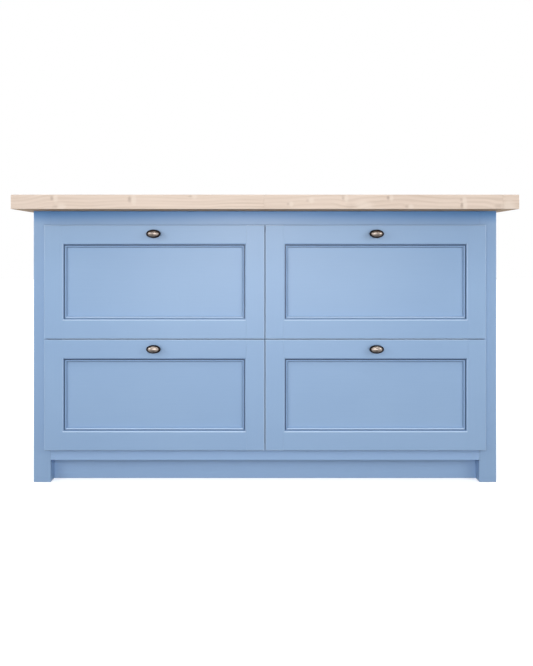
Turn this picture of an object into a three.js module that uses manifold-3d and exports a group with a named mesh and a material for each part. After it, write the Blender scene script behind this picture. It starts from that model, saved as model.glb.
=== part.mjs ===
// A freestanding kitchen island: four posts that run down as feet, framed ends and back, a
// thick timber worktop, and four deep drawers that slide on ball-bearing runners.
// Millimetres. +Z is up, the drawers open towards -Y, and the origin is on the floor under
// the middle of the worktop.
import * as THREE from "three";
import { mergeVertices } from "three/addons/utils/BufferGeometryUtils.js";
import Module from "manifold-3d";

// Clearances
const fit = 0.3; // between pieces that touch
const frontStandOff = 1; // behind a closed drawer front, the height of its buffers
const columnGap = 3; // between the two columns of drawer fronts
const rowGap = 2.4; // between the two rows of drawer fronts
const plinthGap = 0.5; // between a plinth board and the floor
const runnerPlay = 0.5; // between the two sliding members of a runner
const screwPlay = 0.3; // around a knob's screw

// Worktop
const endOverhang = 32.5;
const faceOverhang = 105;
const worktopThickness = 44;
const worktopArris = 2.5;

// Frame of the cabinet
const frameWidth = 1485;
const frameDepth = 600;
const frameHeight = 870;
const postSize = 55;
const postArris = 2;
const railThickness = 22;
const topRailHeight = 62;
const bottomRailHeight = 53.5;
const toeHeight = 71;
const muntinWidth = 90;

// Panels let into grooves in the frame
const sidePanelThickness = 9;
const sidePanelRecess = 10;
const grooveDepth = 9;

// Plinth boards between the feet
const plinthThickness = 15;
const plinthRecess = 36;

// Inside of the cabinet
const sideBoardThickness = 18;
const partitionThickness = 18;
const floorThickness = 18;

// Lay-on drawer fronts
const frontSideOverlap = 14.75; // over a front post
const frontRailOverlap = 16.5; // over the top rail and over the bottom rail
const upperFrontExtra = 9.5; // how much taller an upper front is than a lower one
const frontThickness = 20;
const frontArris = 2.5;
const stileFlat = 57; // the flat of a stile or rail, up to its moulding
const frontPanelThickness = 6;
const frontPanelGroove = 7;

// Quirk-and-bead moulding, from the flat of the frame inwards
const ovoloWidth = 5;
const ovoloDepth = 4;
const quirkWidth = 3;
const quirkDepth = 8.5;
const beadWidth = 5.5;
const beadCrownDepth = 3.2;
const filletWidth = 2;
const filletDepth = 9.2;
const panelRecess = 10;

// Oval knobs
const knobWidth = 46;
const knobHeight = 27;
const knobProjection = 26;
const knobRimThickness = 3;
const knobRimBulge = 1;
const knobRimStep = 3.5;
const knobDomeHeight = 8.5;
const knobBaseRadius = 8.5;
const knobNeckRadius = 5.5;
const knobScrewRadius = 2;
const knobScrewHeadRadius = 4.5;
const knobScrewHeadHeight = 2.5;

// Drawer boxes
const boxMargin = 5; // how much deeper a box is than its runners
const boxHeight = 250;
const boxWall = 15;
const boxLift = 28.5; // above the lower edge of the drawer front
const boxEase = 1.5;
const boxBottomThickness = 9;
const boxBottomInset = 12; // from the lower edge of the box to its bottom
const boxGrooveDepth = 7;

// Runners
const runnerLength = 500;
const runnerHeight = 45;
const runnerThickness = 12.7;
const runnerSheet = 1.2;
const runnerLip = 3;
const runnerSetback = 2; // behind the face of the frame
const runnerRise = 62; // from the lower edge of the box to the middle of its runners

// Fineness of the curves
const arrisSteps = 3;
const ovoloSteps = 4;
const beadSteps = 8;
const knobSteps = 28;
const domeSteps = 6;

// Places worked out from the sizes
const worktopLength = frameWidth + 2 * endOverhang;
const worktopDepth = frameDepth + 2 * faceOverhang;
const endX = frameWidth / 2;
const faceY = frameDepth / 2;
const innerX = endX - postSize;
const innerY = faceY - postSize;
const openingLow = toeHeight + bottomRailHeight;
const openingHigh = frameHeight - topRailHeight;
const frameTop = frameHeight - fit;
const behindRail = faceY - railThickness - fit;
const columnWidth = innerX - partitionThickness / 2;
const columnX = innerX - columnWidth / 2;
const frontWidth = innerX + frontSideOverlap - columnGap / 2;
const frontX = (frontWidth + columnGap) / 2;
const frontsHeight = openingHigh - openingLow + 2 * frontRailOverlap - rowGap;
const lowerFrontHeight = (frontsHeight - upperFrontExtra) / 2;
const upperFrontHeight = lowerFrontHeight + upperFrontExtra;
const lowerFrontLow = openingLow - frontRailOverlap;
const upperFrontLow = lowerFrontLow + lowerFrontHeight + rowGap;
const frontBackY = -faceY - frontStandOff;
const mouldingWidth = quirkWidth + beadWidth + filletWidth;
const stileWidth = stileFlat + ovoloWidth + mouldingWidth;
const boxDepth = runnerLength + boxMargin;
const boxWidth = columnWidth - 2 * (runnerThickness + 2 * fit);
const channelDepth = runnerThickness - runnerSheet - runnerPlay;
const runnerRear = -faceY + runnerSetback + runnerLength;

// Finishes
const finish = (color, roughness, metalness = 0) =>
  () => new THREE.MeshStandardMaterial({ color, roughness, metalness });
const bluePaint = finish("#9cb8dc", 0.55);
const limedPine = finish("#dccbb8", 0.7);
const paleBirch = finish("#dfc69c", 0.6);
const zincSteel = finish("#b9bec4", 0.35, 0.9);
const darkPewter = finish("#4a4541", 0.35, 0.85);

const wasm = await Module();
wasm.setup();

// A closed geometry as a solid that can be cut and joined.
function solidOf(geometry) {
  const bare = geometry.clone();
  bare.deleteAttribute("normal");
  bare.deleteAttribute("uv");
  const merged = mergeVertices(bare);
  const vertProperties = merged.getAttribute("position").array;
  const triVerts = new Uint32Array(merged.index.array);
  return new wasm.Manifold(new wasm.Mesh({ numProp: 3, vertProperties, triVerts }));
}

function geometryOf(solid) {
  const { vertProperties, triVerts } = solid.getMesh();
  const geometry = new THREE.BufferGeometry();
  geometry.setAttribute("position", new THREE.BufferAttribute(vertProperties, 3));
  geometry.setIndex(new THREE.BufferAttribute(triVerts, 1));
  geometry.computeVertexNormals();
  return geometry;
}

const cut = (geometry, tools) =>
  geometryOf(tools.reduce((solid, tool) => solid.subtract(solidOf(tool)), solidOf(geometry)));
const join = (geometries) =>
  geometryOf(geometries.map(solidOf).reduce((whole, solid) => whole.add(solid)));

function piece(name, geometry, material, x = 0, y = 0, z = 0) {
  const mesh = new THREE.Mesh(geometry, material());
  mesh.name = name;
  mesh.position.set(x, y, z);
  return mesh;
}

// Turns a piece that is made facing +Z, with +Y as its top, so that it faces outward.
function turnToFace(mesh, outward) {
  const up = new THREE.Vector3(0, 0, 1);
  const across = new THREE.Vector3().crossVectors(up, outward);
  mesh.quaternion.setFromRotationMatrix(new THREE.Matrix4().makeBasis(across, up, outward));
  return mesh;
}

// The box between two values on each axis. A side of -1 mirrors it in X or in Y.
function space([x0, x1], [y0, y1], [z0, z1], sideX = 1, sideY = 1) {
  const corner = (x, y, z) => new THREE.Vector3(x * sideX, y * sideY, z);
  return new THREE.Box3().setFromPoints([corner(x0, y0, z0), corner(x1, y1, z1)]);
}

// A box geometry that fills a space, seen from a point.
function boxFilling(box, from = new THREE.Vector3()) {
  const size = box.getSize(new THREE.Vector3());
  const centre = box.getCenter(new THREE.Vector3()).sub(from);
  return new THREE.BoxGeometry(size.x, size.y, size.z).translate(centre.x, centre.y, centre.z);
}

// A board that fills a space, with the housings of the pieces that are let into it.
function board(name, box, material, housed = []) {
  const centre = box.getCenter(new THREE.Vector3());
  const plain = boxFilling(box, centre);
  const housings = housed.map((other) => boxFilling(other.clone().expandByScalar(fit), centre));
  const geometry = housings.length ? cut(plain, housings) : plain;
  return piece(name, geometry, material, centre.x, centre.y, centre.z);
}

function roundedRectangle(width, height, radius) {
  const right = width / 2;
  const top = height / 2;
  const shape = new THREE.Shape();
  shape.moveTo(right, radius - top);
  shape.absarc(right - radius, top - radius, radius, 0, Math.PI / 2);
  shape.absarc(radius - right, top - radius, radius, Math.PI / 2, Math.PI);
  shape.absarc(radius - right, radius - top, radius, Math.PI, 1.5 * Math.PI);
  shape.absarc(right - radius, radius - top, radius, 1.5 * Math.PI, 2 * Math.PI);
  return shape;
}

// A closed rectangular ring with mitred corners, its axis along +Z. The profile's points are
// [distance in from the outer edge, height], clockwise when height points up.
function mitredRing(width, height, profile) {
  const corners = [[-1, -1], [1, -1], [1, 1], [-1, 1]];
  const at = ([sx, sy], [inset, level]) =>
    [sx * (width / 2 - inset), sy * (height / 2 - inset), level];
  const points = [];
  corners.forEach((corner, c) => {
    const nextCorner = corners[(c + 1) % corners.length];
    profile.forEach((point, p) => {
      const nextPoint = profile[(p + 1) % profile.length];
      const low = at(corner, point);
      const lowNext = at(nextCorner, point);
      const high = at(corner, nextPoint);
      const highNext = at(nextCorner, nextPoint);
      points.push(low, lowNext, highNext, low, highNext, high);
    });
  });
  const geometry = new THREE.BufferGeometry();
  geometry.setAttribute("position", new THREE.Float32BufferAttribute(points.flat(), 3));
  geometry.computeVertexNormals();
  return geometry;
}

// Points on a quarter or half ellipse, from one angle to another, both ends included.
function ellipseArc([centreU, centreV], radiusU, radiusV, from, to, steps) {
  return Array.from({ length: steps + 1 }, (_, i) => {
    const angle = from + ((to - from) * i) / steps;
    return [centreU + radiusU * Math.cos(angle), centreV + radiusV * Math.sin(angle)];
  });
}

// The moulding from the floor of the quirk to the panel, as [distance in, height]. It starts
// at the distance given, and the face of the frame is at the height given.
function mouldingPoints(start, face) {
  const beadStart = start + quirkWidth;
  const beadEnd = beadStart + beadWidth;
  const quirkFloor = face - quirkDepth;
  const beadCentre = [beadStart + beadWidth / 2, quirkFloor];
  const rise = quirkDepth - beadCrownDepth;
  return [
    [start, quirkFloor],
    ...ellipseArc(beadCentre, beadWidth / 2, rise, Math.PI, 0, beadSteps),
    [beadEnd, face - filletDepth],
    [beadEnd + filletWidth, face - filletDepth],
  ];
}

// ---- Carcass ----

const sideWord = { [-1]: "left", 1: "right" };
const island = new THREE.Group();

const endPanelOut = endX - sidePanelRecess;
const endPanelSpace = (sideX) => space(
  [endPanelOut - sidePanelThickness, endPanelOut],
  [-innerY - grooveDepth + fit, innerY + grooveDepth - fit],
  [openingLow - grooveDepth + fit, openingHigh + grooveDepth - fit],
  sideX,
);
const backPanelOut = faceY - sidePanelRecess;
const backPanelSpace = (sideX) => space(
  [muntinWidth / 2 - grooveDepth + fit, innerX + grooveDepth - fit],
  [backPanelOut - sidePanelThickness, backPanelOut],
  [openingLow - grooveDepth + fit, openingHigh + grooveDepth - fit],
  sideX,
);

function worktop() {
  const outline = roundedRectangle(
    worktopLength - 2 * worktopArris,
    worktopDepth - 2 * worktopArris,
    worktopArris,
  );
  const slab = new THREE.ExtrudeGeometry(outline, {
    depth: worktopThickness - 2 * worktopArris,
    bevelThickness: worktopArris,
    bevelSize: worktopArris,
    bevelSegments: arrisSteps,
    curveSegments: arrisSteps,
  });
  return piece("worktop", slab, limedPine, 0, 0, frameHeight + worktopArris);
}

// A post, housed for the end panel and, at the back, for the back panel.
function post(sideX, sideY) {
  const outline = roundedRectangle(postSize, postSize, postArris);
  const shaft = new THREE.ExtrudeGeometry(outline, {
    depth: frameTop,
    bevelEnabled: false,
    curveSegments: arrisSteps,
  });
  const x = sideX * (endX - postSize / 2);
  const y = sideY * (faceY - postSize / 2);
  const foot = new THREE.Vector3(x, y, 0);
  const housed = [endPanelSpace(sideX), ...(sideY > 0 ? [backPanelSpace(sideX)] : [])];
  const housings = housed.map((box) => boxFilling(box.expandByScalar(fit), foot));
  const name = `post_${sideY < 0 ? "front" : "back"}_${sideWord[sideX]}`;
  return piece(name, cut(shaft, housings), bluePaint, x, y);
}

const betweenPosts = [-innerX + fit, innerX - fit];
const betweenPostsDeep = [-innerY + fit, innerY - fit];
const topRailSpan = [openingHigh, frameTop];
const bottomRailSpan = [toeHeight, openingLow];

function frontRails() {
  const depth = [-faceY, railThickness - faceY];
  return [
    board("front_top_rail", space(betweenPosts, depth, topRailSpan), bluePaint),
    board("front_bottom_rail", space(betweenPosts, depth, bottomRailSpan), bluePaint),
  ];
}

// A panel with its moulding planted round it, made facing +Z with its face at height 0.
function mouldedPanel(name, width, height, material) {
  const plate = new THREE.BoxGeometry(
    width + 2 * (grooveDepth - fit),
    height + 2 * (grooveDepth - fit),
    sidePanelThickness,
  ).translate(0, 0, -sidePanelThickness / 2);
  const root = -sidePanelThickness / 3;
  const bead = mitredRing(width - 2 * fit, height - 2 * fit, [
    [0, root],
    ...mouldingPoints(0, sidePanelRecess),
    [mouldingWidth, root],
  ]);
  return piece(name, join([plate, bead]), material);
}

function end(sideX) {
  const word = sideWord[sideX];
  const thickness = [endX - railThickness, endX];
  const housed = [endPanelSpace(sideX)];
  const rail = (which, span) => board(
    `end_${which}_rail_${word}`,
    space(thickness, betweenPostsDeep, span, sideX),
    bluePaint,
    housed,
  );
  const panel = mouldedPanel(
    `end_panel_${word}`,
    2 * innerY,
    openingHigh - openingLow,
    bluePaint,
  );
  panel.position.set(sideX * endPanelOut, 0, (openingLow + openingHigh) / 2);
  turnToFace(panel, new THREE.Vector3(sideX, 0, 0));
  return [rail("top", topRailSpan), rail("bottom", bottomRailSpan), panel];
}

// The back: two rails and a muntin glued up as one frame, with a panel on each side.
function back() {
  const thickness = [faceY - railThickness, faceY];
  const muntin = [-muntinWidth / 2, muntinWidth / 2];
  const frame = join([
    boxFilling(space(betweenPosts, thickness, topRailSpan)),
    boxFilling(space(betweenPosts, thickness, bottomRailSpan)),
    boxFilling(space(muntin, thickness, [toeHeight, frameTop])),
  ]);
  const housings = [-1, 1].map((sideX) => boxFilling(backPanelSpace(sideX).expandByScalar(fit)));
  const panelWidth = innerX - muntinWidth / 2;
  const panels = [-1, 1].map((sideX) => {
    const name = `back_panel_${sideWord[sideX]}`;
    const panel = mouldedPanel(name, panelWidth, openingHigh - openingLow, bluePaint);
    const x = sideX * (innerX - panelWidth / 2);
    panel.position.set(x, backPanelOut, (openingLow + openingHigh) / 2);
    return turnToFace(panel, new THREE.Vector3(0, 1, 0));
  });
  return [piece("back_frame", cut(frame, housings), bluePaint), ...panels];
}

// The plinth boards stand back from the faces of the frame, between the feet.
function plinths() {
  const level = [plinthGap, openingLow - floorThickness - fit];
  const outerY = faceY - plinthRecess;
  const outerX = endX - plinthRecess;
  const reach = Math.min(innerY, outerY - plinthThickness) - fit;
  const across = [-1, 1].map((sideY) => board(
    `plinth_${sideY < 0 ? "front" : "back"}`,
    space(betweenPosts, [outerY - plinthThickness, outerY], level, 1, sideY),
    bluePaint,
  ));
  const ends = [-1, 1].map((sideX) => board(
    `plinth_${sideWord[sideX]}`,
    space([outerX - plinthThickness, outerX], [-reach, reach], level, sideX),
    bluePaint,
  ));
  return [...across, ...ends];
}

// Side boards flush with the posts' inner faces, a floor, and a partition in the middle.
function inside() {
  const sides = [-1, 1].map((sideX) => board(
    `carcass_side_${sideWord[sideX]}`,
    space(
      [innerX, innerX + sideBoardThickness],
      betweenPostsDeep,
      [openingLow - floorThickness, frameTop],
      sideX,
    ),
    paleBirch,
  ));
  const floor = board(
    "carcass_floor",
    space(betweenPosts, [-behindRail, behindRail], [openingLow - floorThickness, openingLow]),
    paleBirch,
  );
  return [...sides, floor, partition()];
}

// The partition's front edge shows in the gap between the drawers, under the top rail.
function partition() {
  const outline = new THREE.Shape();
  outline.moveTo(-faceY, openingLow + fit);
  outline.lineTo(behindRail, openingLow + fit);
  outline.lineTo(behindRail, frameTop);
  outline.lineTo(-behindRail, frameTop);
  outline.lineTo(-behindRail, openingHigh - fit);
  outline.lineTo(-faceY, openingHigh - fit);
  const slab = new THREE.ExtrudeGeometry(outline, {
    depth: partitionThickness,
    bevelEnabled: false,
  });
  const mesh = piece("centre_partition", slab, paleBirch, -partitionThickness / 2);
  return turnToFace(mesh, new THREE.Vector3(1, 0, 0));
}

// ---- Drawers ----

// The profile of a drawer front's frame: arris, flat, ovolo, moulding, panel groove, back.
function frontProfile() {
  const face = frontThickness;
  const quarter = Math.PI / 2;
  const ovoloStart = face - ovoloDepth;
  const grooveBottom = stileWidth - frontPanelGroove;
  const grooveTop = face - panelRecess;
  const grooveBack = grooveTop - frontPanelThickness - 2 * fit;
  return [
    [0, 0],
    ...ellipseArc([frontArris, face - frontArris], frontArris, frontArris, 2 * quarter,
      quarter, arrisSteps),
    ...ellipseArc([stileFlat, ovoloStart], ovoloWidth, ovoloDepth, quarter, 0, ovoloSteps),
    ...mouldingPoints(stileFlat + ovoloWidth, face),
    [stileWidth, grooveTop],
    [grooveBottom, grooveTop],
    [grooveBottom, grooveBack],
    [stileWidth, grooveBack],
    [stileWidth, 0],
  ];
}

// From the middle of a front up to its knob, in the middle of the flat of its top rail.
const knobRise = (height) => (height - stileFlat) / 2;

function frontFrame(name, height) {
  const ring = mitredRing(frontWidth, height, frontProfile());
  const hole = new THREE.CylinderGeometry(
    knobScrewRadius + screwPlay,
    knobScrewRadius + screwPlay,
    3 * frontThickness,
    knobSteps,
  );
  hole.rotateX(Math.PI / 2).translate(0, knobRise(height), 0);
  return turnToFace(piece(name, cut(ring, [hole]), bluePaint), new THREE.Vector3(0, -1, 0));
}

function frontPanel(name, height) {
  const hidden = stileWidth - frontPanelGroove + fit;
  const front = panelRecess + fit - frontThickness;
  const box = space(
    [hidden - frontWidth / 2, frontWidth / 2 - hidden],
    [front, front + frontPanelThickness],
    [hidden - height / 2, height / 2 - hidden],
  );
  return board(name, box, bluePaint);
}

// An oval knob with its screw: a dome on a dark rim, a waisted neck, the screw through the
// rail and the screw's head behind it. Made along +Y, with the face of the rail at 0.
function knob(name, height) {
  const rimBottom = knobProjection - knobDomeHeight - knobRimThickness;
  const rimTop = rimBottom + knobRimThickness;
  const half = knobWidth / 2;
  const domeRadius = half - knobRimStep;
  const dome = ellipseArc([0, rimTop], domeRadius, knobDomeHeight, 0, Math.PI / 2, domeSteps);
  const headPoints = [
    [0, rimBottom],
    [half - knobRimBulge, rimBottom],
    [half, (rimBottom + rimTop) / 2],
    [half - knobRimBulge, rimTop],
    ...dome.slice(0, -1),
    [0, knobProjection],
  ];
  const screwEnd = -frontThickness - fit;
  const neckPoints = [
    [0, screwEnd - knobScrewHeadHeight],
    [knobScrewHeadRadius, screwEnd - knobScrewHeadHeight],
    [knobScrewHeadRadius, screwEnd],
    [knobScrewRadius, screwEnd],
    [knobScrewRadius, fit],
    [knobBaseRadius, fit],
    [knobBaseRadius, fit + knobRimBulge],
    [knobNeckRadius, rimBottom / 2],
    [knobBaseRadius, rimBottom],
    [knobBaseRadius, rimBottom + knobRimThickness / 2],
    [0, rimBottom + knobRimThickness / 2],
  ];
  const turned = (points) =>
    new THREE.LatheGeometry(points.map(([r, h]) => new THREE.Vector2(r, h)), knobSteps);
  const head = turned(headPoints).scale(1, 1, knobHeight / knobWidth);
  const mesh = piece(name, join([head, turned(neckPoints)]), darkPewter);
  mesh.position.set(0, -frontThickness, knobRise(height));
  mesh.rotation.x = Math.PI;
  return mesh;
}

// Four dovetailed sides, with a groove round the inside for the bottom.
function boxSides(name) {
  const grooveLow = boxBottomInset;
  const grooveHigh = boxBottomInset + boxBottomThickness + 2 * fit;
  const ring = mitredRing(boxWidth, boxDepth, [
    [0, 0],
    [0, boxHeight - boxEase],
    [boxEase, boxHeight],
    [boxWall - boxEase, boxHeight],
    [boxWall, boxHeight - boxEase],
    [boxWall, grooveHigh],
    [boxWall - boxGrooveDepth, grooveHigh],
    [boxWall - boxGrooveDepth, grooveLow],
    [boxWall, grooveLow],
    [boxWall, 0],
  ]);
  return piece(name, ring, paleBirch);
}

function boxBottom(name) {
  const inset = boxWall - boxGrooveDepth + fit;
  const low = boxBottomInset + fit;
  const box = space(
    [inset - boxWidth / 2, boxWidth / 2 - inset],
    [inset - boxDepth / 2, boxDepth / 2 - inset],
    [low, low + boxBottomThickness],
  );
  return board(name, box, paleBirch);
}

// The member on the cabinet: a channel that opens towards the drawer, with turned-in lips.
// Outlines of both members are [distance from the cabinet, height].
function channelOutline() {
  const half = runnerHeight / 2;
  const inner = half - runnerSheet;
  const lip = inner - runnerLip;
  const outer = [
    [channelDepth - runnerSheet, lip],
    [channelDepth, lip],
    [channelDepth, half],
    [0, half],
  ];
  return mirroredOutline(outer, [[runnerSheet, inner], [channelDepth - runnerSheet, inner]]);
}

// The member on the drawer: a hat section whose brims run inside the channel's lips.
function hatOutline() {
  const brim = runnerHeight / 2 - runnerSheet - runnerPlay;
  const crown = runnerHeight / 2 - runnerSheet - runnerLip - runnerPlay;
  const brimOut = channelDepth - runnerSheet - runnerPlay;
  const outer = [
    [brimOut - runnerSheet, crown - runnerSheet],
    [brimOut - runnerSheet, brim],
    [brimOut, brim],
    [brimOut, crown],
    [runnerThickness, crown],
  ];
  return mirroredOutline(outer, [[runnerThickness - runnerSheet, crown - runnerSheet]]);
}

// A closed outline from the upper half of each of its two faces, mirrored in height.
function mirroredOutline(outer, inner) {
  const below = (points) => points.map(([depth, height]) => [depth, -height]).reverse();
  return [...outer, ...below(outer), ...below(inner), ...inner];
}

// A rolled section along Y. A side of 1 has the cabinet at its right, and -1 at its left.
function runnerMember(name, outline, side) {
  const points = outline.map(([depth, height]) => new THREE.Vector2(-side * depth, height));
  const section = new THREE.ExtrudeGeometry(new THREE.Shape(points), {
    depth: runnerLength,
    bevelEnabled: false,
  });
  return turnToFace(piece(name, section, zincSteel), new THREE.Vector3(0, -1, 0));
}

// A drawer, from the lower edge of its front and the front's height.
function drawer(name, sideX, frontLow, height) {
  const group = new THREE.Group();
  group.position.set(sideX * frontX, frontBackY, frontLow + height / 2);
  group.add(frontFrame(`${name}_front_frame`, height));
  group.add(frontPanel(`${name}_front_panel`, height));
  group.add(knob(`${name}_knob`, height));

  const boxX = sideX * (columnX - frontX);
  const boxLow = boxLift - height / 2;
  const box = boxSides(`${name}_box`);
  box.position.set(boxX, boxDepth / 2 + fit, boxLow);
  const bottom = boxBottom(`${name}_box_bottom`);
  bottom.position.add(box.position);
  group.add(box, bottom);
  return group;
}

// The two members of each runner of a drawer: the outer pair on the end of the cabinet and
// the inner pair on the partition.
function runners(name, sideX, frontLow) {
  const middleZ = frontLow + boxLift + runnerRise;
  const pairs = [["outer", sideX, innerX], ["inner", -sideX, partitionThickness / 2]];
  return pairs.flatMap(([place, side, carrier]) => {
    const members = [["cabinet", channelOutline()], ["drawer", hatOutline()]];
    return members.map(([owner, outline]) => {
      const member = runnerMember(`${name}_${owner}_slide_${place}`, outline, side);
      member.position.set(sideX * carrier - side * fit, runnerRear, middleZ);
      return member;
    });
  });
}

const drawers = [
  ["upper_left", -1, upperFrontLow, upperFrontHeight],
  ["upper_right", 1, upperFrontLow, upperFrontHeight],
  ["lower_left", -1, lowerFrontLow, lowerFrontHeight],
  ["lower_right", 1, lowerFrontLow, lowerFrontHeight],
];

island.add(worktop());
for (const sideX of [-1, 1]) {
  island.add(post(sideX, -1), post(sideX, 1), ...end(sideX));
}
island.add(...frontRails(), ...back(), ...plinths(), ...inside());
for (const placed of drawers) {
  island.add(drawer(...placed), ...runners(...placed));
}

export default island;
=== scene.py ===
"""A freestanding painted kitchen island with a limed pine worktop and four pan drawers.

Metres, +Z up. The drawers open towards -Y and the floor is at z = 0.
"""

import math
import random

import bmesh
import bpy
from mathutils import Matrix, Vector


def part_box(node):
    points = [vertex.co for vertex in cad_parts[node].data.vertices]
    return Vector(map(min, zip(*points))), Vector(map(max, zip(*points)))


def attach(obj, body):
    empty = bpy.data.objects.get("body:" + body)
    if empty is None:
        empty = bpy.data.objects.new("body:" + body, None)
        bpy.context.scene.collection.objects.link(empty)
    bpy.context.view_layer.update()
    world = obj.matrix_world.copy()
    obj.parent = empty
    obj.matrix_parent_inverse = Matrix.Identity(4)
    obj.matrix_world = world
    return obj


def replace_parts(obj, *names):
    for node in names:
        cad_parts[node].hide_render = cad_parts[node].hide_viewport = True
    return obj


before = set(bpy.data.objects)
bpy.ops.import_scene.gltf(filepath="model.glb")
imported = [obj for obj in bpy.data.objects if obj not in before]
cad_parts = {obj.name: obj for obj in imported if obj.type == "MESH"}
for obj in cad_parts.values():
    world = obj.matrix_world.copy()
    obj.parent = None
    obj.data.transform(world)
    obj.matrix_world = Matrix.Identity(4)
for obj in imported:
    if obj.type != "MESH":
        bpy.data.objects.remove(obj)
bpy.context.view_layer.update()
MM = 0.001
X, Y, Z = 0, 1, 2
CABINET = "cabinet"
DRAWERS = ("upper_left", "upper_right", "lower_left", "lower_right")
SIDES = {"left": -1, "right": 1}
TOUCH = 0.01 * MM  # points nearer than this are taken as one

# Joinery sizes that the boxes of the solids don't give
HAIRLINE = 0.15 * MM
STILE_FLAT = 57 * MM
OVOLO = (5 * MM, 4 * MM)  # the moulding's parts in order, as (distance across, depth)
QUIRK = (3 * MM, 8.5 * MM)
BEAD_WIDTH = 5.5 * MM
BEAD_CROWN = 3.2 * MM
FILLET = (2 * MM, 9.2 * MM)
FILLET_CHAMFER = (0.6 * MM, 0.5 * MM)
PANEL_RECESS = 10 * MM
PANEL_GROOVE = (7 * MM, 6.6 * MM)
SIDE_TONGUE = 9 * MM  # of an end or back panel, in its groove
GROOVE_SLACK = 0.3 * MM  # round an end or back panel
FRONT_ARRIS = 2.2 * MM
POST_ARRIS = 2 * MM
RAIL_ARRIS = 1.2 * MM
FOOT_EASE = 1.5 * MM
INNER_EASE = 0.5 * MM
STEEL_EASE = 0.35 * MM
MUNTIN_WIDTH = 90 * MM

# How much painted shade darkens each quirk of a drawer front, and how much of it the fillet
# takes
TOP_RAIL_SHADE = 1.0
STILE_SHADE = 0.75
LOW_RAIL_SHADE = 0.28
FILLET_SHADE = 0.45

# How much paler the paint is made, partly thinned by hands and cloths and partly painted
# highlight: on the arris of a front beside another front and elsewhere, and on the ovolo and
# the bead of each member. The low rail's upward ovolo and bead get a full painted highlight,
# the top rail's downward ones none.
MEETING_PALE, OUTER_PALE = 1.0, 0.45
STILE_PALE = (0.3, 0.0)
TOP_RAIL_PALE = (0.0, 0.0)
LOW_RAIL_PALE = (1.0, 1.0)

draws = random.Random(23)

WORKTOP_LOW, WORKTOP_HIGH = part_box("worktop")
RING_PITCH = 9.5 * MM
KNOT_REACH = 90 * MM  # how far the knots of the front edge run into the board
UNDER_TOP_SHADE_DROP = 48 * MM  # how far below the worktop the paint is made a deeper blue, as painted shade of the overhang
END_SWEEP = (-0.775, -0.62, 0.02)  # where the rings sweep down at the left end, and how far

# Knots in the front edge, in mm: across, up from the underside, half width, half height, and
# how dark the heart is
EDGE_KNOTS = tuple(
    (x * MM, WORKTOP_LOW.z + z * MM, wide * MM, high * MM, dark) for x, z, wide, high, dark in (
        (-650, 33, 4.5, 6, 0.75), (-640, 7, 8, 5, 0.35), (-413, 29, 5, 8, 0.75),
        (-228, 39, 5, 4, 0.35), (70, 15, 4, 4, 0.4), (129, 26, 5, 4, 0.3),
        (238, 33, 4, 6, 0.5), (262, 10, 16, 7, 0.25), (375, 34, 4, 5, 0.9),
        (432, 7, 5, 4, 0.4), (600, 11, 4, 7, 1.0), (598, 28, 4, 5, 0.35),
        (712, 8, 12, 8, 0.35),
    )
)


# ---- Materials ----


def srgb(red, green, blue):
    """A colour read as 0 to 255 on a screen, as the linear values that a shader takes."""
    def linear(level):
        share = level / 255
        return share / 12.92 if share <= 0.04045 else ((share + 0.055) / 1.055) ** 2.4
    return (linear(red), linear(green), linear(blue), 1.0)


class Channel:
    """A number that varies over a surface. Arithmetic on it adds Math nodes."""

    def __init__(self, nodes, socket):
        self.nodes = nodes
        self.socket = socket

    def maths(self, operation, *values):
        node = self.nodes.add("ShaderNodeMath", {"operation": operation}, values)
        return Channel(self.nodes, node.outputs[0])

    def __add__(self, other):
        return self.maths("ADD", self, other)

    def __radd__(self, other):
        return self.maths("ADD", other, self)

    def __sub__(self, other):
        return self.maths("SUBTRACT", self, other)

    def __rsub__(self, other):
        return self.maths("SUBTRACT", other, self)

    def __mul__(self, other):
        return self.maths("MULTIPLY", self, other)

    def __rmul__(self, other):
        return self.maths("MULTIPLY", other, self)

    def __pow__(self, other):
        return self.maths("POWER", self, other)

    def sine(self):
        return self.maths("SINE", self)

    def root(self):
        return self.maths("SQRT", self)

    def larger(self, other):
        return self.maths("MAXIMUM", self, other)

    def smaller(self, other):
        return self.maths("MINIMUM", self, other)

    def ramp(self, low, high, to_low=0.0, to_high=1.0):
        """Runs smoothly from to_low to to_high while this runs from low to high."""
        node = self.nodes.add(
            "ShaderNodeMapRange",
            {"interpolation_type": "SMOOTHSTEP"},
            (self, low, high, to_low, to_high),
        )
        return Channel(self.nodes, node.outputs[0])


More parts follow.
